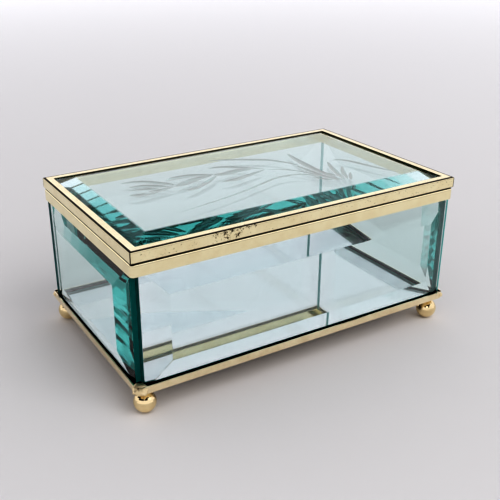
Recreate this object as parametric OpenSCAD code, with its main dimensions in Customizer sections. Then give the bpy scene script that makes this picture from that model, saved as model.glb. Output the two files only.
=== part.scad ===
// Glass casket box: five bevelled panes held in gilt brass channel, a mirrored
// floor, four turned ball feet and a hinged lid.
// The origin is on the ground under the middle of the whole box. +X runs along
// the front, +Y to the hinged back and +Z up.

/* [Case] */
// Length of the case and lid, over their brass
case_w = 152; // [100:1:260]
// Depth of the case and lid, over their brass
case_d = 93; // [70:1:180]
// Height of the four side panes
pane_h = 50; // [30:1:120]
// Radius of the bent corners of the rim, seen from above
corner_r = 1.5; // [1.2:0.1:4]

/* [Brass] */
// Thickness of the brass sheet
sheet_t = 0.6; // [0.4:0.05:0.8]
// Radius of the bends along the edges of the sheet
bend_r = 0.6; // [0.3:0.05:0.8]
// Height of the rim that caps the side panes
rim_h = 4.8; // [4:0.05:8]
// How far the legs of the rim reach down over the glass
rim_grip = 2.05; // [1:0.05:3]
// Height of the lid's frame at its outer face
lid_frame_h = 4.8; // [4.4:0.05:6]
// Width of the lid frame's two lips
lid_lip_w = 3.7; // [2.5:0.1:6]
// Height of the strip round the base
base_h = 3.3; // [2.4:0.1:6]
// How far the base stands out past the rim
base_overhang = 0.7; // [0.2:0.1:2]
// Width of the ledge under the panes and the mirror
base_ledge_w = 10; // [8:0.5:20]

/* [Glass] */
// Thickness of the panes inside their bevels
pane_t = 5.75; // [5:0.05:7]
// Thickness of the side panes at their edges
pane_edge_t = 3.4; // [2.8:0.05:3.45]
// Width of the bevel on the side panes
side_bevel_w = 11; // [6:0.5:13]
// Width of the bevel on the lid's pane
lid_bevel_w = 10.1; // [6:0.1:14]
// How far the front pane's left end stops short of the case's side; its right
// end fills the corner, and the back pane lies the other way round
pane_end_inset = 3.1; // [2.4:0.1:4]
// Thickness of the mirror glass in the floor
mirror_t = 2; // [1.6:0.1:4]
// Thickness of the mirror's silvering and its painted backing
backing_t = 0.4; // [0.2:0.05:0.8]

/* [Feet] */
// Diameter of the ball
foot_ball_d = 9; // [6:0.1:12]
// Diameter of the flat that the ball stands on
foot_flat_d = 2.6; // [2:0.1:4]
// Height of the neck and its collar, above the ball
foot_neck_h = 1.75; // [1.5:0.05:4]
// Diameter of the neck
foot_neck_d = 3.4; // [3:0.1:4.4]
// Diameter of the collar under the base
foot_collar_d = 5.6; // [5:0.1:8]
// Thickness of the collar
foot_collar_t = 0.7; // [0.5:0.05:1]
// Diameter of the spigot that is riveted through the base
foot_spigot_d = 2.4; // [1.6:0.1:2.8]
// How far the middle of each foot is inside the rim's outline
foot_inset = 4.1; // [3.6:0.1:8]

/* [Hinges] */
// Distance from the middle of each hinge to the end of the case
hinge_inset = 30; // [15:1:40]
// Outer diameter of the knuckles
knuckle_d = 3; // [2.6:0.1:4]
// Length of each of the three knuckles
knuckle_l = 5; // [3:0.5:8]
// Diameter of the pin
pin_d = 1.4; // [1:0.1:1.6]
// Diameter of the pin's riveted ends
pin_head_d = 2.2; // [1.8:0.1:2.5]
// Height of the pin's riveted ends
pin_head_h = 0.4; // [0.3:0.05:0.6]
// Thickness of the leaves
leaf_t = 0.5; // [0.4:0.05:0.7]
// Height of each leaf, from the pin's axis to its free edge
leaf_h = 4.1; // [3:0.1:4.2]
// How far the stop heel reaches from the pin's axis
heel_r = 2.3; // [2.2:0.05:2.6]
// Thickness of the stop heel
heel_t = 0.5; // [0.4:0.05:0.6]
// Angle at which the heel stops the lid
open_angle = 105; // [90:1:120]

/* [Clearances] */
// Seam between the closed lid and the rim
seam_gap = 0.3; // [0.1:0.05:0.4]
// Gap beside the glass in its channels
glass_gap = 0.1; // [0.05:0.05:0.2]
// Bedding under the glass
bed_gap = 0.05; // [0.02:0.01:0.1]
// Gap between the edges of the panes, and round the mirror
edge_gap = 0.2; // [0.1:0.05:0.5]
// Radial gap between the pin and the lid's knuckle
pin_gap = 0.05; // [0.02:0.01:0.08]
// Gap between neighbouring knuckles
knuckle_gap = 0.12; // [0.05:0.01:0.3]
// Gap between the knuckles and the back of the box
hinge_back_gap = 0.15; // [0.1:0.05:0.3]
// Gap round a spigot in its hole
spigot_gap = 0.03; // [0.02:0.01:0.05]

/* [Hidden] */
$fn = 48;
brass = [0.85, 0.73, 0.50];
deep_brass = [0.71, 0.55, 0.32];
clear_glass = [0.76, 0.86, 0.87, 0.45];
mirror_glass = [0.72, 0.82, 0.84];
backing_paint = [0.42, 0.40, 0.38];
eps = 0.01;
arc_steps = 6;

// Glass. The bevels of the side panes drop from the full thickness to the thin
// edge, and those of the lid just clear the inner edge of the lid's upper lip.
side_slope = (pane_t - pane_edge_t) / side_bevel_w;
lid_pane_inset = sheet_t + 2 * glass_gap;
lid_lip_room = lid_frame_h - 2 * sheet_t - bed_gap - glass_gap;
lid_slope = (pane_t - lid_lip_room) / (lid_bevel_w + lid_pane_inset - lid_lip_w);
lid_edge_t = pane_t - lid_slope * lid_bevel_w;
pane_face_inset = sheet_t + glass_gap + side_slope * rim_grip;
pane_inner_inset = pane_face_inset + pane_edge_t;
pane_proud = pane_t - pane_inner_inset;
corner_room = corner_r - sqrt(pow(corner_r - sheet_t - glass_gap, 2)
                              - pow(max(0, corner_r - pane_face_inset), 2));
pane_corner_inset = max(sheet_t + edge_gap, corner_room);

// Heights, from the ground up
ball_r = foot_ball_d / 2;
ball_z = sqrt(pow(ball_r, 2) - pow(foot_flat_d / 2, 2));
neck_z = ball_z + sqrt(pow(ball_r, 2) - pow(foot_neck_d / 2, 2));
base_z = neck_z + foot_neck_h;
pane_z = base_z + sheet_t + bed_gap;
backing_z = base_z + sheet_t;
mirror_z = backing_z + backing_t + bed_gap;
rim_z = pane_z + pane_h - rim_grip;
rim_top = rim_z + rim_h;
lid_z = rim_top + seam_gap;
lid_pane_z = lid_z + sheet_t + bed_gap;

// Plan
base_w = case_w + 2 * base_overhang;
base_d = case_d + 2 * base_overhang;
rim_leg_inset = pane_inner_inset + glass_gap;
rim_inner_inset = rim_leg_inset + sheet_t;
mirror_inset = pane_inner_inset + edge_gap;
side_pane_d = case_d - 2 * (pane_inner_inset + edge_gap);

// Hinges. The heel meets the case leaf when the lid has turned by open_angle.
knuckle_r = knuckle_d / 2;
hinge_y = case_d / 2 + hinge_back_gap + knuckle_r;
hinge_z = rim_top + seam_gap / 2;
hinge_l = 3 * knuckle_l + 2 * knuckle_gap;
knuckle_pitch = knuckle_l + knuckle_gap;
leaf_back = hinge_back_gap + knuckle_r - leaf_t;
heel_slack = 1.5;
heel_meets = 180 + acos(leaf_back / heel_r);
heel_angle = heel_meets + asin(heel_t / 2 / heel_r) + heel_slack + open_angle - 360;
heel_reach = heel_r * cos(heel_angle) + heel_t / 2 * abs(sin(heel_angle));

// The box stands out further at its hinges than at its front, so the model is
// moved forward until the ground point under its middle is the origin.
front_reach = max(pane_proud, base_overhang);
back_reach = hinge_back_gap + knuckle_r + heel_reach;
middle_y = (front_reach - back_reach) / 2;

// A quarter circle of points round a centre, from one angle to another
function arc(centre, r, from, to) = [
    for (i = [0 : arc_steps])
        let (a = from + (to - from) * i / arc_steps)
        centre + r * [cos(a), sin(a)]
];

// Cross section of a slab half, out from its middle: width w, height h, with
// its top outer edge rounded by r
function slab_section(w, h, r) = concat([[0, 0], [w, 0]], arc([w - r, h - r], r, 0, 90), [[0, h]]);

// A slab with round vertical corners and a rounded top edge
module rounded_slab(w, d, h, r, edge) {
    for (side = [0, 1]) mirror([side, 0, 0])
        rotate([90, 0, 0]) linear_extrude(d - 2 * r, center = true)
            polygon(slab_section(w / 2, h, edge));
    for (side = [0, 1]) mirror([0, side, 0])
        rotate([90, 0, 90]) linear_extrude(w - 2 * r, center = true)
            polygon(slab_section(d / 2, h, edge));
    for (x = [-1, 1], y = [-1, 1])
        translate([x * (w / 2 - r), y * (d / 2 - r), 0])
            rotate_extrude() polygon(slab_section(r, h, edge));
}

// A slab with round vertical corners and square edges
module plain_slab(w, d, h, r) {
    translate([-w / 2 + r, -d / 2, 0]) cube([w - 2 * r, d, h]);
    translate([-w / 2, -d / 2 + r, 0]) cube([w, d - 2 * r, h]);
    for (x = [-1, 1], y = [-1, 1])
        translate([x * (w / 2 - r), y * (d / 2 - r), 0]) cylinder(r = r, h = h);
}

// A pane lying flat with its bevels up: the two sections cross, which mitres
// the bevels at the corners
module bevelled_pane(w, d, bevel, edge_t) {
    intersection() {
        rotate([90, 0, 0]) linear_extrude(d, center = true) pane_section(w, bevel, edge_t);
        rotate([90, 0, 90]) linear_extrude(w, center = true) pane_section(d, bevel, edge_t);
    }
}

module pane_section(w, bevel, edge_t) {
    polygon([
        [-w / 2, 0], [w / 2, 0], [w / 2, edge_t],
        [w / 2 - bevel, pane_t], [-w / 2 + bevel, pane_t], [-w / 2, edge_t]
    ]);
}

// A pane stood up along the front, with its bevelled face outwards
module front_wall(w) {
    color(clear_glass)
        translate([0, -case_d / 2 + pane_inner_inset, pane_z + pane_h / 2])
            rotate([90, 0, 0]) bevelled_pane(w, pane_h, side_bevel_w, pane_edge_t);
}

// A pane stood up along the left side
module left_wall(d) {
    color(clear_glass)
        translate([-case_w / 2 + pane_inner_inset, 0, pane_z + pane_h / 2])
            rotate([90, 0, -90]) bevelled_pane(d, pane_h, side_bevel_w, pane_edge_t);
}

module front_pane() {
    translate([(pane_end_inset - pane_corner_inset) / 2, 0, 0])
        front_wall(case_w - pane_end_inset - pane_corner_inset);
}

module back_pane() { rotate([0, 0, 180]) front_pane(); }
module left_pane() { left_wall(side_pane_d); }
module right_pane() { mirror([1, 0, 0]) left_pane(); }

module floor_mirror() {
    color(mirror_glass) translate([0, 0, mirror_z + mirror_t / 2])
        cube([case_w - 2 * mirror_inset, case_d - 2 * mirror_inset, mirror_t], center = true);
}

module mirror_backing() {
    color(backing_paint) translate([0, 0, backing_z + backing_t / 2])
        cube([case_w - 2 * mirror_inset, case_d - 2 * mirror_inset, backing_t], center = true);
}

// Channel bent from one strip, open downwards, that caps the side panes
module rim_frame() {
    color(brass) difference() {
        translate([0, 0, rim_z]) rounded_slab(case_w, case_d, rim_h, corner_r, bend_r);
        translate([0, 0, rim_z - eps]) difference() {
            plain_slab(case_w - 2 * sheet_t, case_d - 2 * sheet_t,
                       rim_h - sheet_t + eps, corner_r - sheet_t);
            translate([-case_w / 2 + rim_leg_inset, -case_d / 2 + rim_leg_inset, -eps])
                cube([case_w - 2 * rim_leg_inset, case_d - 2 * rim_leg_inset, rim_h + 3 * eps]);
        }
        translate([-case_w / 2 + rim_inner_inset, -case_d / 2 + rim_inner_inset, rim_z - eps])
            cube([case_w - 2 * rim_inner_inset, case_d - 2 * rim_inner_inset, rim_h + 2 * eps]);
    }
}

// Angle strip bent from one length, with a ledge under the glass and a hole at
// each corner for the spigot of a foot
module base_frame() {
    color(deep_brass) difference() {
        translate([0, 0, base_z + base_h]) mirror([0, 0, 1])
            rounded_slab(base_w, base_d, base_h, corner_r + base_overhang, bend_r);
        translate([0, 0, base_z + sheet_t])
            plain_slab(base_w - 2 * sheet_t, base_d - 2 * sheet_t, base_h,
                       corner_r + base_overhang - sheet_t);
        translate([-base_w / 2 + base_ledge_w, -base_d / 2 + base_ledge_w, base_z - eps])
            cube([base_w - 2 * base_ledge_w, base_d - 2 * base_ledge_w, base_h]);
        for (x = [-1, 1], y = [-1, 1])
            translate([x * (case_w / 2 - foot_inset), y * (case_d / 2 - foot_inset), base_z - eps])
                cylinder(r = foot_spigot_d / 2 + spigot_gap, h = sheet_t + 2 * eps);
    }
}

// Turned ball foot: flat, ball, coved neck, collar and spigot
module foot(x, y) {
    collar_r = foot_collar_d / 2;
    cove_h = foot_neck_h - foot_collar_t;
    profile = concat(
        [[0, 0], [foot_flat_d / 2, 0]],
        [for (i = [1 : 17])
            let (low = acos(ball_z / ball_r), high = 180 - asin(foot_neck_d / 2 / ball_r))
            let (a = low + (high - low) * i / 17)
            [ball_r * sin(a), ball_z - ball_r * cos(a)]],
        [for (i = [1 : arc_steps])
            let (a = 90 * i / arc_steps)
            [foot_neck_d / 2 + (collar_r - foot_neck_d / 2) * (1 - cos(a)), neck_z + cove_h * sin(a)]],
        [[collar_r, base_z], [foot_spigot_d / 2, base_z],
         [foot_spigot_d / 2, base_z + sheet_t], [0, base_z + sheet_t]]
    );
    color(brass) translate([x * (case_w / 2 - foot_inset), y * (case_d / 2 - foot_inset), 0])
        rotate_extrude() polygon(profile);
}

module foot_front_left() { foot(-1, -1); }
module foot_front_right() { foot(1, -1); }
module foot_back_left() { foot(-1, 1); }
module foot_back_right() { foot(1, 1); }

// Section of the lid's channel, in from its outer face and up from its foot
module lid_channel_section() {
    polygon(concat(
        [[lid_lip_w, sheet_t], [lid_lip_w, 0]],
        arc([bend_r, bend_r], bend_r, 270, 180),
        arc([bend_r, lid_frame_h - bend_r], bend_r, 180, 90),
        [[lid_lip_w, lid_frame_h], [lid_lip_w, lid_frame_h - sheet_t],
         [sheet_t, lid_frame_h - sheet_t], [sheet_t, sheet_t]]
    ));
}

// One length of the lid's channel along the front, mitred at both ends
module lid_length(w, d) {
    color(brass) intersection() {
        translate([-w / 2, -d / 2, lid_z]) rotate([90, 0, 90])
            linear_extrude(w) lid_channel_section();
        translate([0, 0, lid_z - eps]) linear_extrude(lid_frame_h + pane_t)
            polygon([[-w / 2, -d / 2], [w / 2, -d / 2], [0, -d / 2 + w / 2]]);
    }
}

module lid_frame_front() { lid_length(case_w, case_d); }
module lid_frame_back() { mirror([0, 1, 0]) lid_length(case_w, case_d); }
module lid_frame_left() { rotate([0, 0, -90]) lid_length(case_d, case_w); }
module lid_frame_right() { rotate([0, 0, 90]) lid_length(case_d, case_w); }

module lid_pane() {
    color(clear_glass) translate([0, 0, lid_pane_z])
        bevelled_pane(case_w - 2 * lid_pane_inset, case_d - 2 * lid_pane_inset,
                      lid_bevel_w, lid_edge_t);
}

// One knuckle of a hinge, lying along X round the pin's axis
module knuckle(place) {
    translate([place * knuckle_pitch - knuckle_l / 2, 0, 0])
        rotate([0, 90, 0]) cylinder(r = knuckle_r, h = knuckle_l);
}

module pin_bore() {
    translate([-hinge_l / 2 - 1, 0, 0])
        rotate([0, 90, 0]) cylinder(r = pin_d / 2 + pin_gap, h = hinge_l + 2);
}

// Flat of a leaf, on the back of the box. It is cut away beside the knuckles
// of the other leaf.
module leaf_flat(other_knuckles) {
    relief = knuckle_r + 2 * knuckle_gap;
    difference() {
        translate([-hinge_l / 2, -leaf_back - leaf_t, 0]) cube([hinge_l, leaf_t, leaf_h]);
        for (place = other_knuckles)
            translate([place * knuckle_pitch - knuckle_l / 2 - 2 * knuckle_gap, -relief, -relief])
                cube([knuckle_l + 4 * knuckle_gap, relief, 2 * relief]);
    }
}

module at_hinge(side) {
    translate([side * (case_w / 2 - hinge_inset), hinge_y, hinge_z]) children();
}

module case_leaf(side) {
    color(brass) at_hinge(side) difference() {
        union() {
            mirror([0, 0, 1]) leaf_flat([0]);
            for (place = [-1, 1]) knuckle(place);
        }
        pin_bore();
    }
}

module lid_leaf(side) {
    color(brass) at_hinge(side) difference() {
        union() {
            leaf_flat([-1, 1]);
            knuckle(0);
            rotate([heel_angle, 0, 0])
                translate([-knuckle_l / 2, knuckle_r - heel_t, -heel_t / 2])
                    cube([knuckle_l, heel_r - knuckle_r + heel_t, heel_t]);
        }
        pin_bore();
    }
}

module hinge_pin(side) {
    color(deep_brass) at_hinge(side) rotate([0, 90, 0]) {
        cylinder(r = pin_d / 2, h = hinge_l + 2 * pin_head_h, center = true);
        for (end = [0, 1]) mirror([0, 0, end])
            translate([0, 0, hinge_l / 2]) cylinder(r = pin_head_d / 2, h = pin_head_h);
    }
}

module hinge_left_case_leaf() { case_leaf(-1); }
module hinge_left_pin() { hinge_pin(-1); }
module hinge_left_lid_leaf() { lid_leaf(-1); }
module hinge_right_case_leaf() { case_leaf(1); }
module hinge_right_pin() { hinge_pin(1); }
module hinge_right_lid_leaf() { lid_leaf(1); }

module placed() { translate([0, middle_y, 0]) children(); }

placed() base_frame();
placed() floor_mirror();
placed() mirror_backing();
placed() front_pane();
placed() back_pane();
placed() left_pane();
placed() right_pane();
placed() rim_frame();
placed() foot_front_left();
placed() foot_front_right();
placed() foot_back_left();
placed() foot_back_right();
placed() hinge_left_case_leaf();
placed() hinge_left_pin();
placed() hinge_left_lid_leaf();
placed() hinge_right_case_leaf();
placed() hinge_right_pin();
placed() hinge_right_lid_leaf();
placed() lid_frame_front();
placed() lid_frame_back();
placed() lid_frame_left();
placed() lid_frame_right();
placed() lid_pane();
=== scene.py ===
import math

import bmesh
import bpy
from mathutils import Matrix, Vector, noise


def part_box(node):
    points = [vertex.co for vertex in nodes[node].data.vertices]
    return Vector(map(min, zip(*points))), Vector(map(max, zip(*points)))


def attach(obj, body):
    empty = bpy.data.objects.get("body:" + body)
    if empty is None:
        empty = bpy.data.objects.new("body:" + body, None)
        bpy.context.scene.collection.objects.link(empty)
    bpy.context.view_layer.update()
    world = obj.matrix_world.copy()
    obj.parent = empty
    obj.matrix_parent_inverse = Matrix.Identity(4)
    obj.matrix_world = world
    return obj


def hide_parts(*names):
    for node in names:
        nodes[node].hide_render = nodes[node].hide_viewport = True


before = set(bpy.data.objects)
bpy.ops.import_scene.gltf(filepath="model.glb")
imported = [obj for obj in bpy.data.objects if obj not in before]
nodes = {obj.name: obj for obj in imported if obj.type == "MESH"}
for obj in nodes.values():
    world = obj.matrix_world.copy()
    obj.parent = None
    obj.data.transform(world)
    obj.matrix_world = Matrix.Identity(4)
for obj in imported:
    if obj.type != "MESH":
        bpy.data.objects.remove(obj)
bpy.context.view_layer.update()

scene = bpy.context.scene

# Camera. It stands off the front left corner, a little over two lengths of the
# box away, and looks down on the lid, level to half a degree. Sizes are in metres
# and angles in degrees here and below, except where a comment says otherwise.
CAMERA_PLACE = Vector((-0.1672, -0.2702, 0.1766))
CAMERA_YAW = 30.08
CAMERA_PITCH = 24.22
CAMERA_ROLL = -0.52
CAMERA_LENS = 55.35
CAMERA_SENSOR = 36
CAMERA_SHIFT = 0.05
CAMERA_NEAR = 0.01
CAMERA_FAR = 20

yaw, pitch, roll = (math.radians(angle) for angle in (CAMERA_YAW, CAMERA_PITCH, CAMERA_ROLL))
ahead = Vector((math.sin(yaw) * math.cos(pitch), math.cos(yaw) * math.cos(pitch), -math.sin(pitch)))
level_right = Vector((math.cos(yaw), -math.sin(yaw), 0))
level_down = ahead.cross(level_right)
camera_right = math.cos(roll) * level_right - math.sin(roll) * level_down
camera_up = -math.sin(roll) * level_right - math.cos(roll) * level_down
camera_turn = Matrix((camera_right, camera_up, -ahead)).transposed().to_4x4()
camera = bpy.data.objects.new("camera", bpy.data.cameras.new("camera"))
camera.matrix_world = Matrix.Translation(CAMERA_PLACE) @ camera_turn
camera.data.lens = CAMERA_LENS
camera.data.sensor_width = CAMERA_SENSOR
camera.data.shift_x = CAMERA_SHIFT
camera.data.clip_start = CAMERA_NEAR
camera.data.clip_end = CAMERA_FAR
scene.collection.objects.link(camera)
scene.camera = camera

# Floor. A round studio cove of matt white paint: a level floor whose edge
# curves up into a low wall. The paint glows with a painted wash of cool light,
# which grows with the distance from the box.
COVE_PAINT = "#dedcdd"
COVE_ROUGHNESS = 0.9
COVE_RADIUS = 1.6
COVE_CURVE = 0.7
COVE_HEIGHT = 1.28
COVE_STEPS = 96
COVE_ARC_STEPS = 12
PAINTED_GLOW_COLOUR = "#f8f9ff"
PAINTED_GLOW_START = 0.15
PAINTED_GLOW_STRENGTH = 0.31
WELD_DISTANCE = 1e-6


def linear(hex_colour):
    """The linear colour, with alpha, of an sRGB hex value."""
    parts = [int(hex_colour[i:i + 2], 16) / 255 for i in (1, 3, 5)]
    return [c / 12.92 if c <= 0.04045 else ((c + 0.055) / 1.055) ** 2.4 for c in parts] + [1.0]


def add(tree, kind, settings=None, links=None):
    """Adds a node to a tree with its properties and values, and links its inputs."""
    node = tree.nodes.new("ShaderNode" + kind)
    for name, value in (settings or {}).items():
        if isinstance(name, str) and hasattr(node, name):
            setattr(node, name, value)
        else:
            node.inputs[name].default_value = value
    for name, source in (links or {}).items():
        tree.links.new(source, node.inputs[name])
    return node


def blank_material(name):
    """A material with an empty node tree."""
    made = bpy.data.materials.new(name)
    made.use_nodes = True
    made.node_tree.nodes.clear()
    return made


# Matt paint scatters light evenly, so the floor shows soft shadows and no shine.
cove_paint = blank_material("matt_wall_paint")
tree = cove_paint.node_tree
place = add(tree, "NewGeometry")
distance = add(tree, "VectorMath", {"operation": "LENGTH"}, {0: place.outputs["Position"]})
# Painted light: the paint glows more the farther it lies from the box, out to the foot of the wall.
painted_glow = add(tree, "MapRange", {"From Min": PAINTED_GLOW_START, "From Max": COVE_RADIUS, "To Max": PAINTED_GLOW_STRENGTH},
           {"Value": distance.outputs["Value"]})
paint = add(tree, "BsdfPrincipled",
            {"Base Color": linear(COVE_PAINT), "Roughness": COVE_ROUGHNESS,
             "Emission Color": linear(PAINTED_GLOW_COLOUR)},
            {"Emission Strength": painted_glow.outputs[0]})
add(tree, "OutputMaterial", links={"Surface": paint.outputs[0]})

cove_profile = [(0.0, 0.0), (COVE_RADIUS, 0.0)]
for step in range(1, COVE_ARC_STEPS + 1):
    rise = math.pi / 2 * step / COVE_ARC_STEPS
    cove_profile.append((COVE_RADIUS + COVE_CURVE * math.sin(rise), COVE_CURVE * (1 - math.cos(rise))))
cove_profile.append((COVE_RADIUS + COVE_CURVE, COVE_HEIGHT))
shape = bmesh.new()
line = [shape.verts.new((radius, 0, height)) for radius, height in cove_profile]
edges = [shape.edges.new(pair) for pair in zip(line, line[1:])]
bmesh.ops.spin(shape, geom=line + edges, cent=(0, 0, 0), axis=(0, 0, 1), angle=math.tau,
               steps=COVE_STEPS, use_merge=True)
bmesh.ops.remove_doubles(shape, verts=shape.verts, dist=WELD_DISTANCE)
for face in shape.faces:
    face.smooth = True
cove_mesh = bpy.data.meshes.new("cove")
shape.to_mesh(cove_mesh)
shape.free()
cove_mesh.materials.append(cove_paint)
cove = bpy.data.objects.new("cove", cove_mesh)
scene.collection.objects.link(cove)

# Light. Over the cove the room is dark, but for a long low window on the right
# whose top slopes up to the right, a soft box high in front on either side and
# a small skylight: brass and glass mirror them all. A wide soft box in front on
# the right and two small ones overhead light the floor and give the shadow.
ROOM_DIM = "#222327"
ROOM_BRIGHT = "#d9dbe1"
WINDOW_SIDE_BLUR = 0.12
WINDOW_TOP = 0.54
WINDOW_RISE = 0.5
WINDOW_TOP_BLUR = 0.03
# Each soft box: where it is, the angles in degrees where it starts to fade and
# ends, and its strength
SOFT_BOXES = (
    ((0.46, -0.79, 0.45), 20, 28, 0.2),
    ((-0.46, -0.79, 0.55), 8, 14, 1.3),
    ((0, 0, 1), 12, 18, 0.6),
)
FLOOR_LIGHT = 0.47
FLOOR_LIGHT_COLOUR = "#ffffff"
KEY_PLACE = Vector((0.35, -0.95, 1.1))
KEY_SIDE = 0.9
KEY_WATTS = 4.8
LAMP_PLACES = (Vector((-0.28, -0.45, 1.1)), Vector((0.18, -0.45, 1.1)))
LAMP_SIDE = 0.22
LAMP_WATTS = 0.35
EXPOSURE = -0.24
PATH_BOUNCES = 48
GLASS_BOUNCES = 40
CLEAR_BOUNCES = 16

world = bpy.data.worlds.new("room")
world.use_nodes = True
scene.world = world
tree = world.node_tree
tree.nodes.clear()
direction = add(tree, "TexCoord")
height = add(tree, "VectorMath", {"operation": "DOT_PRODUCT", 1: (-WINDOW_RISE, 0, 1)},
             {0: direction.outputs["Generated"]})
aside = add(tree, "VectorMath", {"operation": "DOT_PRODUCT", 1: (1, 0, 0)},
            {0: direction.outputs["Generated"]})
beside = add(tree, "MapRange", {"interpolation_type": "SMOOTHSTEP", "From Max": WINDOW_SIDE_BLUR},
             {"Value": aside.outputs["Value"]})
below = add(tree, "MapRange", {"interpolation_type": "SMOOTHSTEP", "From Min": WINDOW_TOP,
                               "From Max": WINDOW_TOP - WINDOW_TOP_BLUR}, {"Value": height.outputs["Value"]})
open_wall = add(tree, "Math", {"operation": "MULTIPLY"}, {0: beside.outputs[0], 1: below.outputs[0]})
air = add(tree, "Mix", {"data_type": "RGBA", 6: linear(ROOM_DIM), 7: linear(ROOM_BRIGHT)},
          {"Factor": open_wall.outputs[0]}).outputs[2]
for aim, inner, outer, strength in SOFT_BOXES:
    toward = add(tree, "VectorMath", {"operation": "DOT_PRODUCT", 1: Vector(aim).normalized()},
                 {0: direction.outputs["Generated"]})
    spot = add(tree, "MapRange", {"interpolation_type": "SMOOTHSTEP", "To Max": strength,
                                  "From Min": math.cos(math.radians(outer)),
                                  "From Max": math.cos(math.radians(inner))},
               {"Value": toward.outputs["Value"]})
    air = add(tree, "Mix", {"data_type": "RGBA", "blend_type": "ADD", "Factor": 1.0},
              {6: air, 7: spot.outputs[0]}).outputs[2]
seen = add(tree, "Background", links={"Color": air})
# Matt surfaces are lit evenly from all round, as by a large white tent.
even = add(tree, "Background", {"Color": linear(FLOOR_LIGHT_COLOUR), "Strength": FLOOR_LIGHT})
path = add(tree, "LightPath")
scattered = add(tree, "Math", {"operation": "MINIMUM", 1: 1.0}, {0: path.outputs["Diffuse Depth"]})
glow = add(tree, "MixShader", links={0: scattered.outputs[0], 1: seen.outputs[0], 2: even.outputs[0]})
add(tree, "OutputWorld", links={"Surface": glow.outputs[0]})
world.cycles.sampling_method = "NONE"


def soft_box(name, place, side, watts):
    """A square soft box that faces the middle of the floor."""
    lamp = bpy.data.objects.new(name, bpy.data.lights.new(name, "AREA"))
    lamp.data.size = side
    lamp.data.energy = watts
    lamp.matrix_world = Matrix.Translation(place) @ place.to_track_quat("Z", "Y").to_matrix().to_4x4()
    scene.collection.objects.link(lamp)
    return lamp


key = soft_box("key_light", KEY_PLACE, KEY_SIDE, KEY_WATTS)
key.visible_glossy = False
key.visible_transmission = False
for index, lamp_place in enumerate(LAMP_PLACES):
    soft_box(f"front_light_{index}", lamp_place, LAMP_SIDE, LAMP_WATTS)
scene.view_settings.view_transform = "Standard"
scene.view_settings.look = "Very High Contrast"
scene.view_settings.exposure = EXPOSURE

# Light inside thick glass is turned back many times before it gets out, so the
# paths may be long.
scene.cycles.max_bounces = PATH_BOUNCES
scene.cycles.glossy_bounces = GLASS_BOUNCES
scene.cycles.transmission_bounces = GLASS_BOUNCES
scene.cycles.transparent_max_bounces = CLEAR_BOUNCES

# Base frame. A brass angle strip, bent round the foot of the panes and gilt. Its
# ends and the spigots of the feet are soldered in at the corners, and the
# solder stands up there in lumps.
BASE_GILT = "#fff1d0"
BASE_TARNISH = "#c09a62"
# Black for pits and worn plating, and also for the painted shade and dark reflections of the bands
WEAR_AND_PAINTED_SHADE_BLACK = "#160b06"
BASE_ROUGHNESS = 0.16
# The patterns of the gilding: how large their grains are in millimetres, where in
# the noise they start and end, how strong they are and how deep their relief is
CLOUD_SIZE = 7
CLOUD_FROM = 0.38
CLOUD_TO = 0.72
CLOUD_SHARE = 0.3
PIT_SIZE = 0.7
PIT_FROM = 0.72
PIT_TO = 0.8
PIT_SHARE = 0.2
PIT_RELIEF = 0.00002
DENT_SIZE = 4
DENT_RELIEF = 0.0001
WEAR_REACH = 0.2
WEAR_FROM = 0.64
WEAR_TO = 0.7
WEAR_SHARE = 0.9
TARNISH_ROUGHNESS = 0.5
# Each black band, most of them painted shade and painted dark reflections: its
# strength, then its limits in millimetres, as distances from an edge of the
# frame, and the blur of its outline
LINE_BLUR = 0.04
# Its band paints the strip black inside its outer face, from its foot up to 5 mm.
BASE_BANDS = ((1.0, (("side", 0.45, 20), ("foot", 0.2, 5))),)
SOLDER = "#fbecc8"
SOLDER_TARNISH = "#c4a272"
SOLDER_ROUGHNESS = 0.5
# Each lump: the sides of the box that it is on, its radius in millimetres and the
# seed of its shape
SOLDER_LUMPS = ((-1, -1, 3.1, 5), (1, -1, 1.7, 9), (-1, 1, 1.7, 2), (1, 1, 1.7, 7))
SOLDER_FACETS = 4
SOLDER_GRAIN = 2.0
SOLDER_SWELL = 0.22
SOLDER_SLUMP = 0.72
# How far a lump's middle lies in from the corner: a share of its radius, and
# millimetres besides
SOLDER_SUNK = 0.55
SOLDER_INSET = 0.4


def millimetres(size):
    """The scale of a noise whose grains are so many millimetres across."""
    return 1000 / size


def inset_from(tree, place, box):
    """How far each point lies in from the sides of a box, along each axis."""
    low, high = (Vector(corner) for corner in box)
    off = add(tree, "VectorMath", {"operation": "SUBTRACT", 1: (low + high) / 2}, {0: place})
    off = add(tree, "VectorMath", {"operation": "ABSOLUTE"}, {0: off.outputs[0]})
    inset = add(tree, "VectorMath", {"operation": "SUBTRACT", 0: (high - low) / 2}, {1: off.outputs[0]})
    return add(tree, "SeparateXYZ", links={0: inset.outputs[0]})


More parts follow.
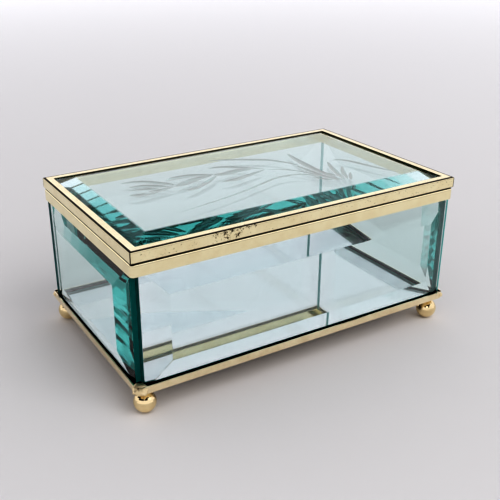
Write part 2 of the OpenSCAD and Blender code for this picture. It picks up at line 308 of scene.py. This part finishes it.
def dark_band_mask(tree, place, box, bands):
    """How black each point of a frame is, from painted bands along its edges and folds.

    A band's limits, in millimetres, are how far in from the frame's outline it
    lies, how far from its corners, down from its top or up from its foot.
    """
    low, high = box
    inset = inset_from(tree, place, box)
    axes = add(tree, "SeparateXYZ", links={0: place})
    reach = {
        "side": add(tree, "Math", {"operation": "MINIMUM"}, {0: inset.outputs[0], 1: inset.outputs[1]}),
        "corner": add(tree, "Math", {"operation": "MAXIMUM"}, {0: inset.outputs[0], 1: inset.outputs[1]}),
        "top": add(tree, "Math", {"operation": "SUBTRACT", 0: high[2]}, {1: axes.outputs["Z"]}),
        "foot": add(tree, "Math", {"operation": "SUBTRACT", 1: low[2]}, {0: axes.outputs["Z"]}),
    }
    black = None
    for strength, limits in bands:
        band = None
        for edge, near, far in limits:
            away = add(tree, "Math", {"operation": "SUBTRACT", 1: (near + far) / 2 / 1000},
                       {0: reach[edge].outputs[0]})
            away = add(tree, "Math", {"operation": "ABSOLUTE"}, {0: away.outputs[0]})
            within = add(tree, "MapRange", {"From Min": ((far - near) / 2 + LINE_BLUR) / 1000,
                                            "From Max": ((far - near) / 2 - LINE_BLUR) / 1000,
                                            "To Max": strength}, {"Value": away.outputs[0]})
            if band:
                within = add(tree, "Math", {"operation": "MINIMUM"},
                             {0: band.outputs[0], 1: within.outputs[0]})
            band = within
        if black:
            band = add(tree, "Math", {"operation": "MAXIMUM"}, {0: black.outputs[0], 1: band.outputs[0]})
        black = band
    return black.outputs[0]


def gilt(name, colour, tarnish, roughness, box=None, bands=(), spots=()):
    """Gilt brass, buffed. It mirrors the room softly. A brown tarnish dulls it in
    clouds and pits, and is black in the spots of worn plating. Its bands are
    painted black, most of them as painted shade and painted dark reflections.
    """
    made = blank_material(name)
    tree = made.node_tree
    place = add(tree, "TexCoord").outputs["Object"]
    cloud = add(tree, "TexNoise", {"Scale": millimetres(CLOUD_SIZE), "Detail": 5, "Roughness": 0.65},
                {"Vector": place})
    spread = add(tree, "MapRange", {"From Min": CLOUD_FROM, "From Max": CLOUD_TO, "To Max": CLOUD_SHARE},
                 {"Value": cloud.outputs["Fac"]})
    tone = add(tree, "Mix", {"data_type": "RGBA", 6: linear(colour), 7: linear(tarnish)},
               {"Factor": spread.outputs[0]})
    grain = add(tree, "TexNoise", {"Scale": millimetres(PIT_SIZE), "Detail": 3, "Roughness": 0.7},
                {"Vector": place})
    pits = add(tree, "MapRange", {"From Min": PIT_FROM, "From Max": PIT_TO, "To Max": PIT_SHARE},
               {"Value": grain.outputs["Fac"]})
    black = pits.outputs[0]
    for x, y, z, radius in spots:
        away = add(tree, "VectorMath", {"operation": "DISTANCE", 1: (x / 1000, y / 1000, z / 1000)},
                   {0: place})
        near = add(tree, "MapRange", {"From Min": radius / 1000, "From Max": 0.0, "To Max": WEAR_REACH},
                   {"Value": away.outputs["Value"]})
        worn = add(tree, "Math", {"operation": "ADD"}, {0: near.outputs[0], 1: grain.outputs["Fac"]})
        worn = add(tree, "MapRange", {"From Min": WEAR_FROM, "From Max": WEAR_TO, "To Max": WEAR_SHARE},
                   {"Value": worn.outputs[0]})
        black = add(tree, "Math", {"operation": "MAXIMUM"}, {0: black, 1: worn.outputs[0]}).outputs[0]
    if bands:
        painted_dark_bands = dark_band_mask(tree, place, box, bands)
        black = add(tree, "Math", {"operation": "MAXIMUM"}, {0: black, 1: painted_dark_bands}).outputs[0]
    tone = add(tree, "Mix", {"data_type": "RGBA", 7: linear(WEAR_AND_PAINTED_SHADE_BLACK)},
               {"Factor": black, 6: tone.outputs[2]})
    buff = add(tree, "MapRange", {"To Min": roughness, "To Max": TARNISH_ROUGHNESS}, {"Value": black})
    dents = add(tree, "TexNoise", {"Scale": millimetres(DENT_SIZE), "Detail": 2}, {"Vector": place})
    relief = add(tree, "Bump", {"Strength": 0.25, "Distance": DENT_RELIEF}, {"Height": dents.outputs["Fac"]})
    relief = add(tree, "Bump", {"Strength": 0.15, "Distance": PIT_RELIEF},
                 {"Height": grain.outputs["Fac"], "Normal": relief.outputs[0]})
    metal = add(tree, "BsdfPrincipled", {"Metallic": 1.0},
                {"Base Color": tone.outputs[2], "Roughness": buff.outputs[0], "Normal": relief.outputs[0]})
    add(tree, "OutputMaterial", links={"Surface": metal.outputs[0]})
    return made


def dress(node, finish):
    """Gives a CAD node its material."""
    nodes[node].data.materials.clear()
    nodes[node].data.materials.append(finish)


def solder_lump(name, middle, radius, seed):
    """A lump of solder, its radius in millimetres, that has run and set over a joint."""
    lump = bmesh.new()
    bmesh.ops.create_icosphere(lump, subdivisions=SOLDER_FACETS, radius=1)
    for vert in lump.verts:
        swell = noise.noise(vert.co * SOLDER_GRAIN + Vector((seed, 0, 0)))
        swell += 0.5 * noise.noise(vert.co * 3 * SOLDER_GRAIN + Vector((0, seed, 0)))
        vert.co *= radius * (1 + SOLDER_SWELL * swell)
        vert.co.z *= SOLDER_SLUMP
        vert.co = middle + vert.co / 1000
    for face in lump.faces:
        face.smooth = True
    mesh = bpy.data.meshes.new(name)
    lump.to_mesh(mesh)
    lump.free()
    return bpy.data.objects.new(name, mesh)


base_gilt = gilt("gilt_brass_base", BASE_GILT, BASE_TARNISH, BASE_ROUGHNESS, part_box("base_frame"),
                 BASE_BANDS)
dress("base_frame", base_gilt)
low, high = (Vector(corner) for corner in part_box("base_frame"))
# Solder sets dull and lumpy, so it glows pale where the buffed strip mirrors.
solder = gilt("gilt_solder", SOLDER, SOLDER_TARNISH, SOLDER_ROUGHNESS)
for x_side, y_side, radius, seed in SOLDER_LUMPS:
    corner = (low + high) / 2
    corner.x = high.x if x_side > 0 else low.x
    corner.y = high.y if y_side > 0 else low.y
    corner -= Vector((x_side, y_side, 0)) * (SOLDER_SUNK * radius + SOLDER_INSET) / 1000
    lump = solder_lump(f"solder_{x_side}_{y_side}", corner, radius, seed)
    scene.collection.objects.link(lump)
    lump.data.materials.append(solder)
    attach(lump, "case")

# Mirror. Clear sheet glass, silvered underneath with grey paint over the silver.
# It lies loose on the ledge of the base, inside the foot of the panes, and its
# edges are ground.
GLASS_TINT = "#66dcd8"
MIRROR_DENSITY = 6.0
MIRROR_EDGE = 0.00005
GLASS_IOR = 1.52
CLEAR = "#ffffff"
SEALANT = "#050606"
GROUND = "#48d2cb"
FROST = "#f4f8f7"
SILVER = "#e6dee0"
SILVER_SKIN = 0.0001
BACKING_DARK = "#5a5653"
BACKING_PALE = "#7a7570"
BACKING_GRAIN = 1.5
BACKING_ROUGHNESS = 0.7


def plate_glass(name, density, clear_from, clear_to, edge, ground_axes="", ground_tint=GROUND,
                roughness=0.0, frost=0.0):
    """Polished plate glass: clear, and green where the eye looks far through it.

    Outside the clear box, which has None where an axis has no limit, the pane is
    covered. There its edge shows the colour it is given: the panes' dark bedding,
    and for the lid a near white, which is a painted reflection. On the ground axes
    it is matt and glows with the light that comes through.
    """
    made = blank_material(name)
    tree = made.node_tree
    place = add(tree, "TexCoord")
    axes = add(tree, "SeparateXYZ", links={0: place.outputs["Object"]})
    face = add(tree, "BsdfGlass", {"name": "polish", "Color": linear(CLEAR), "Roughness": roughness,
                                   "IOR": GLASS_IOR})
    if frost:
        ground = add(tree, "BsdfDiffuse", {"Color": linear(FROST)})
        face = add(tree, "MixShader", {0: frost}, {1: face.outputs[0], 2: ground.outputs[0]})
    for axis, low, high in zip("XYZ", clear_from, clear_to):
        if low is None:
            continue
        off = add(tree, "Math", {"operation": "SUBTRACT", 1: (low + high) / 2}, {0: axes.outputs[axis]})
        away = add(tree, "Math", {"operation": "ABSOLUTE"}, {0: off.outputs[0]})
        past = add(tree, "Math", {"operation": "GREATER_THAN", 1: (high - low) / 2}, {0: away.outputs[0]})
        if axis in ground_axes:
            cover = add(tree, "BsdfTranslucent", {"Color": linear(ground_tint)})
        else:
            cover = add(tree, "BsdfDiffuse", {"Color": linear(edge)})
        face = add(tree, "MixShader", links={0: past.outputs[0], 1: face.outputs[0], 2: cover.outputs[0]})
    body = add(tree, "VolumeAbsorption", {"Color": linear(GLASS_TINT), "Density": density})
    add(tree, "OutputMaterial", links={"Surface": face.outputs[0], "Volume": body.outputs[0]})
    return made


low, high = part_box("floor_mirror")
mirror_glass = plate_glass("mirror_glass", MIRROR_DENSITY,
                           (low[0] + MIRROR_EDGE, low[1] + MIRROR_EDGE, None),
                           (high[0] - MIRROR_EDGE, high[1] - MIRROR_EDGE, None), SEALANT, "XY")
dress("floor_mirror", mirror_glass)

# The silver mirrors sharply and takes a little light. The paint under it is dull
# and brushed on unevenly.
silver = blank_material("silvering")
tree = silver.node_tree
place = add(tree, "TexCoord").outputs["Object"]
axes = add(tree, "SeparateXYZ", links={0: place})
silver_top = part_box("mirror_backing")[1][2]
under = add(tree, "Math", {"operation": "LESS_THAN", 1: silver_top - SILVER_SKIN}, {0: axes.outputs["Z"]})
coat = add(tree, "BsdfPrincipled", {"Base Color": linear(SILVER), "Metallic": 1.0, "Roughness": 0.0})
streaks = add(tree, "TexNoise", {"Scale": millimetres(BACKING_GRAIN), "Detail": 4}, {"Vector": place})
brushed = add(tree, "Mix", {"data_type": "RGBA", 6: linear(BACKING_DARK), 7: linear(BACKING_PALE)},
              {"Factor": streaks.outputs["Fac"]})
paint = add(tree, "BsdfPrincipled", {"Roughness": BACKING_ROUGHNESS}, {"Base Color": brushed.outputs[2]})
surface = add(tree, "MixShader", links={0: under.outputs[0], 1: coat.outputs[0], 2: paint.outputs[0]})
add(tree, "OutputMaterial", links={"Surface": surface.outputs[0]})
dress("mirror_backing", silver)

# Panes. Four pieces of thick plate glass with wide polished bevels, bedded on the
# base in dark sealant and butted at the corners. Their upright ends are ground and
# glow green, and each pane's tint is set apart as painted light and shade for its
# side of the box: darker on the front, greyer and paler on the back and right.
# The arrises are blunted.
GLASS_DENSITY = 25.0
SEALED_FOOT = 0.0022
SEALED_TOP = 0.0010
SEALED_BUTT = 0.00005
ARRIS = 0.0002
ARRIS_SEGMENTS = 2
ARRIS_ANGLE = 8
# Each pane: its node, the axis along which its ends are ground, and their tint, which carries painted light
# and shade for that side
PANES = (
    ("front_pane", "X", "#55a29d"),
    ("back_pane", "X", "#9fc8c6"),
    ("left_pane", "Y", GROUND),
    ("right_pane", "Y", "#8fc8c4"),
)
for pane, ground, painted_tint in PANES:
    low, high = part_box(pane)
    clear_from = [None, None, low[2] + SEALED_FOOT]
    clear_to = [None, None, high[2] - SEALED_TOP]
    axis = "XYZ".index(ground)
    clear_from[axis] = low[axis] + SEALED_BUTT
    clear_to[axis] = high[axis] - SEALED_BUTT
    dress(pane, plate_glass(pane + "_glass", GLASS_DENSITY, clear_from, clear_to, SEALANT, ground, painted_tint))
    nodes[pane].modifiers.new("weld", "WELD").merge_threshold = WELD_DISTANCE
    arris = nodes[pane].modifiers.new("arris", "BEVEL")
    arris.width = ARRIS
    arris.segments = ARRIS_SEGMENTS
    arris.limit_method = "ANGLE"
    arris.angle_limit = math.radians(ARRIS_ANGLE)

# Rim. Channel bent from one strip of gilt brass, pressed down over the panes.
# The lid rests on its top, which is painted black there as the shade in the seam.
# It is buffed a little brighter than the base.
GILT = "#faf0cc"
TARNISH = "#dcc594"
GILT_ROUGHNESS = 0.13
# The bands are painted shade and painted dark reflection: black on the top just inside the outer edge, for
# the shade of the seam under the lid; a thin line below the top fold, for a dark reflection; and a faint
# darkening of the inner leg, for shade inside the channel.
RIM_PAINTED_SHADE_BANDS = (
    (0.97, (("side", 0.36, 1.3), ("top", -0.1, 0.3))),
    (0.5, (("side", -0.1, 0.3), ("top", 0.5, 0.66))),
    (0.15, (("side", 3, 12), ("top", 0.9, 6))),
)
rim_gilt = gilt("gilt_brass_rim", GILT, TARNISH, GILT_ROUGHNESS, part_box("rim_frame"), RIM_PAINTED_SHADE_BANDS)
dress("rim_frame", rim_gilt)

# Feet. Balls turned from brass bar and polished on the lathe, so that each shows
# a sharp little picture of the room. A spigot on top holds it in the base's corner.
TURNED_BRASS = "#f7e4ba"
TURNED_TARNISH = "#7a5526"
TURNED_ROUGHNESS = 0.05
turned_brass = gilt("turned_brass", TURNED_BRASS, TURNED_TARNISH, TURNED_ROUGHNESS)
for foot in ("foot_front_left", "foot_front_right", "foot_back_left", "foot_back_right"):
    dress(foot, turned_brass)

# Hinges. Leaves of brass sheet soldered to the back, with knuckles rolled round a
# pin whose ends are headed over. They are left unbuffed, so their shine is broad.
HINGE_BRASS = "#ead29c"
HINGE_TARNISH = "#a98650"
HINGE_ROUGHNESS = 0.24
hinge_brass = gilt("satin_brass_hinges", HINGE_BRASS, HINGE_TARNISH, HINGE_ROUGHNESS)
for side in ("left", "right"):
    for part in ("case_leaf", "pin", "lid_leaf"):
        dress(f"hinge_{side}_{part}", hinge_brass)

# Lid frame. Four lengths of gilt brass channel, mitred and soldered at the
# corners. Dirt has gathered in the mitres, and black is painted along the folds
# and under the lip as painted shade and painted dark reflections. The plating
# has worn through where a thumb lifts the lid.
LIP_WIDTH = 3.7
# The first band, along the top fold, is a painted dark reflection, and the second,
# along the foot, painted shade in the seam. The third runs along the inner edge of
# the lip, against the glass, as painted shade under the lip. The fourth is dirt in
# the mitres, and the fifth a thin painted dark reflection below the top fold
LID_PAINTED_SHADE_AND_JOINT_BANDS = (
    (0.97, (("side", 0.1, 1.0), ("top", -0.1, 0.36))),
    (0.97, (("side", -0.1, 0.7), ("foot", -0.1, 0.4))),
    (0.97, (("side", LIP_WIDTH - 0.03, LIP_WIDTH + 0.3), ("top", -0.1, 5))),
    (0.9, (("corner", -0.1, 0.34), ("top", -0.1, 5))),
    (0.45, (("side", -0.1, 0.3), ("top", 0.52, 0.68))),
)
# Each worn spot: its middle and its radius, in millimetres
WORN_SPOTS = (
    (-42.0, -47.9, 67.6, 2.2),
    (-38.6, -47.9, 67.6, 2.6),
    (-35.2, -47.9, 67.8, 2.8),
    (-31.8, -47.9, 68.0, 2.6),
    (-28.6, -47.9, 68.2, 2.2),
    (-25.6, -47.9, 68.4, 1.8),
    (-37.0, -47.9, 65.4, 2.2),
    (-32.6, -47.9, 65.8, 2.2),
)
lid_low = [min(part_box(f"lid_frame_{side}")[0][axis] for side in ("left", "front")) for axis in range(3)]
lid_high = [max(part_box(f"lid_frame_{side}")[1][axis] for side in ("right", "back")) for axis in range(3)]
lid_gilt = gilt("gilt_brass_lid", GILT, TARNISH, GILT_ROUGHNESS, (lid_low, lid_high), LID_PAINTED_SHADE_AND_JOINT_BANDS,
                WORN_SPOTS)
for side in ("front", "back", "left", "right"):
    dress(f"lid_frame_{side}", lid_gilt)

# Lid pane. One piece of the same glass, bevelled all round and held by its edges in
# the lid's channel. The spray of flowers on it is cut with a small mitre wheel, and
# the coarse wheel that ground the bevels has left faint slanting waves on them.
LID_DENSITY = 21.0
# The lid's covered edge is painted near white: a painted reflection standing in for the light that the gilt
# channel throws back into the glass
LID_EDGE_PAINTED_LIGHT = "#f4faf8"
LID_SEALED = 0.0008
# The largest angle, in radians, between faces that lie in one flat
FLAT_ANGLE = 0.01
LID_BEVEL = 0.0101
# The waves' width in millimetres, and how many times as long they are
RIPPLE_SIZE = 0.6
RIPPLE_STRETCH = 7
RIPPLE_TURN = 31
RIPPLE_DEPTH = 0.000004
CUT_ROUGHNESS = 0.2
CUT_FROST = 0.44
CUT_STATIONS = 16
CUT_STEP = 0.02
# A cut narrows to its ends as a sine to the power of CUT_TIP, and ends CUT_POINT of
# its full width across. Its depth is a share of the width, its shoulders' depth a
# share of that, and the cutter rises a little way above the glass.
CUT_TIP = 0.6
CUT_POINT = 0.04
CUT_DEPTH = 0.1
CUT_SHOULDER = 0.65
CUT_LIFT = 0.3
# Each cut of the spray: its width, then the points that the wheel runs through, in
# millimetres to the right of the middle of the lid and back from it
SPRAY = (
    (3.6, ((-52, 15.5), (-44, 13), (-38, 7.5), (-33, 2))),
    (4.0, ((-51, 9), (-44, 6.5), (-36.5, 1.5))),
    (1.8, ((-53, 5.5), (-46, 3.5), (-40.5, 1))),
    (3.6, ((-55, 0), (-50.5, -2), (-44, -1), (-33.5, 0.5))),
    (4.2, ((-34, 8.5), (-29.5, 9.5), (-22.5, 9), (-13, 5.5))),
    (4.4, ((-34, 0), (-29, 1.5), (-22, 4), (-14, 5))),
    (2.8, ((-33, -6.5), (-28, -6), (-19.5, -1.5), (-12.5, 3.5))),
    (2.6, ((-11, 14), (-4.5, 12), (3.5, 6), (10, 0))),
    (4.4, ((-13.5, 4.5), (-8, 3.5), (-1, 4.5), (5, 3))),
    (2.8, ((-14.5, -4.5), (-9.5, -5.5), (-2.5, -4), (9.5, -0.5))),
    (1.1, ((9, 0.5), (18.5, -7), (23.5, -15.5), (29, -30))),
    (2.6, ((-6, 23.5), (5.5, 18.5), (18.5, 9.5), (26, -2.5))),
    (3.4, ((31, 13.5), (29, 0.5), (28.3, -13), (29.5, -29))),
    (2.2, ((24.5, -3.5), (25, -10), (26, -19), (29, -29))),
    (1.4, ((-45.5, -27), (-20, -21.5), (-2.5, -16), (9.5, -12.5), (21, -15.5), (29, -30))),
    (1.7, ((21, -20.5), (24, -24), (26.5, -27.5))),
    (2.4, ((39.5, -6), (36, -14), (33, -22), (31, -29))),
    (2.0, ((41, -14.5), (36.5, -21.5), (32.5, -29.5))),
    (1.7, ((39, -23), (36, -27), (33, -31))),
    (2.0, ((42, -5), (46.5, -7), (49.5, -13), (52.5, -23), (56.5, -34))),
    (1.5, ((28, -16.5), (31.5, -24))),
)


def ripple_bevels(glass, box):
    """Adds the waves that the coarse wheel leaves, on the bevels of a pane."""
    tree = glass.node_tree
    place = add(tree, "TexCoord").outputs["Object"]
    inset = inset_from(tree, place, box)
    reach = add(tree, "Math", {"operation": "MINIMUM"}, {0: inset.outputs[0], 1: inset.outputs[1]})
    on_bevel = add(tree, "Math", {"operation": "LESS_THAN", 1: LID_BEVEL}, {0: reach.outputs[0]})
    wheel = add(tree, "Mapping",
                {"vector_type": "TEXTURE", "Rotation": (0, 0, math.radians(RIPPLE_TURN)),
                 "Scale": (RIPPLE_STRETCH, 1, 1)}, {"Vector": place})
    waves = add(tree, "TexNoise", {"Scale": millimetres(RIPPLE_SIZE), "Detail": 2},
                {"Vector": wheel.outputs[0]})
    waves = add(tree, "Math", {"operation": "MULTIPLY"}, {0: waves.outputs["Fac"], 1: on_bevel.outputs[0]})
    relief = add(tree, "Bump", {"Strength": 1.0, "Distance": RIPPLE_DEPTH}, {"Height": waves.outputs[0]})
    tree.links.new(relief.outputs[0], tree.nodes["polish"].inputs["Normal"])


def along(points, t):
    """The point at t, from 0 to 1, on a smooth curve through the points."""
    points = [Vector(point) for point in points]
    points = [2 * points[0] - points[1], *points, 2 * points[-1] - points[-2]]
    spans = len(points) - 3
    span = min(int(t * spans), spans - 1)
    t = t * spans - span
    a, b, c, d = points[span:span + 4]
    return 0.5 * (2 * b + (c - a) * t + (2 * a - 5 * b + 4 * c - d) * t ** 2
                  + (3 * b - a - 3 * c + d) * t ** 3)


def wheel_cut(width, points, top):
    """The solid that a mitre wheel takes out along a line of points, in millimetres."""
    cutter = bmesh.new()
    rings = []
    for station in range(CUT_STATIONS + 1):
        t = station / CUT_STATIONS
        middle = along(points, t)
        heading = along(points, min(t + CUT_STEP, 1)) - along(points, max(t - CUT_STEP, 0))
        heading.normalize()
        side = Vector((-heading.y, heading.x))
        half = width / 2 * max(math.sin(math.pi * t) ** CUT_TIP, CUT_POINT)
        depth = 2 * half * CUT_DEPTH
        shoulder = CUT_SHOULDER * depth
        lift = CUT_LIFT * half
        outline = ((-half, lift), (-half, 0), (-half / 2, -shoulder), (0, -depth),
                   (half / 2, -shoulder), (half, 0), (half, lift))
        ring = []
        for across, up in outline:
            at = (middle + side * across).to_3d() + Vector((0, 0, up))
            ring.append(cutter.verts.new(at / 1000 + Vector((0, 0, top))))
        rings.append(ring)
    for near, far in zip(rings, rings[1:]):
        for i in range(len(near)):
            j = (i + 1) % len(near)
            cutter.faces.new((near[i], near[j], far[j], far[i]))
    cutter.faces.new(rings[0][::-1])
    cutter.faces.new(rings[-1])
    bmesh.ops.recalc_face_normals(cutter, faces=cutter.faces)
    for face in cutter.faces:
        face.material_index = 1
    mesh = bpy.data.meshes.new("wheel_cut")
    cutter.to_mesh(mesh)
    cutter.free()
    return bpy.data.objects.new("wheel_cut", mesh)


low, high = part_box("lid_pane")
clear_from = (low[0] + LID_SEALED, low[1] + LID_SEALED, None)
clear_to = (high[0] - LID_SEALED, high[1] - LID_SEALED, None)
polished = plate_glass("lid_glass", LID_DENSITY, clear_from, clear_to, LID_EDGE_PAINTED_LIGHT)
ripple_bevels(polished, (low, high))
# The cuts are left as the wheel makes them: rough, so that they scatter light and
# stand out white and misty in the clear glass.
frosted = plate_glass("wheel_cut_glass", LID_DENSITY, clear_from, clear_to, LID_EDGE_PAINTED_LIGHT,
                      roughness=CUT_ROUGHNESS, frost=CUT_FROST)

# The pane before it is cut, with its arrises blunted
blank = bmesh.new()
blank.from_mesh(nodes["lid_pane"].data)
bmesh.ops.remove_doubles(blank, verts=blank.verts, dist=WELD_DISTANCE)
bmesh.ops.dissolve_limit(blank, angle_limit=FLAT_ANGLE, verts=blank.verts, edges=blank.edges)
bmesh.ops.bevel(blank, geom=blank.edges, offset=ARRIS, segments=ARRIS_SEGMENTS, affect="EDGES")
for face in blank.faces:
    face.material_index = 0
lid_mesh = bpy.data.meshes.new("lid_glass")
blank.to_mesh(lid_mesh)
blank.free()
lid_mesh.materials.append(polished)
lid_mesh.materials.append(frosted)
lid_glass = bpy.data.objects.new("lid_glass", lid_mesh)
scene.collection.objects.link(lid_glass)

# The cuts are taken out of it one after another. They are smooth along their length
# and meet the flat glass at a sharp edge.
cutters = [wheel_cut(width, points, high[2]) for width, points in SPRAY]
for cutter in cutters:
    scene.collection.objects.link(cutter)
    cut = lid_glass.modifiers.new("cut", "BOOLEAN")
    cut.object = cutter
    cut.operation = "DIFFERENCE"
    cut.solver = "EXACT"
bpy.context.view_layer.update()
carved = lid_glass.evaluated_get(bpy.context.evaluated_depsgraph_get())
cut_mesh = bpy.data.meshes.new_from_object(carved)
lid_glass.modifiers.clear()
lid_glass.data = cut_mesh
for cutter in cutters:
    bpy.data.objects.remove(cutter)
finish = bmesh.new()
finish.from_mesh(cut_mesh)
for face in finish.faces:
    face.smooth = face.material_index == 1
for edge in finish.edges:
    edge.smooth = len({face.material_index for face in edge.link_faces}) == 1
finish.to_mesh(cut_mesh)
finish.free()
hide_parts("lid_pane")
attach(lid_glass, "lid")
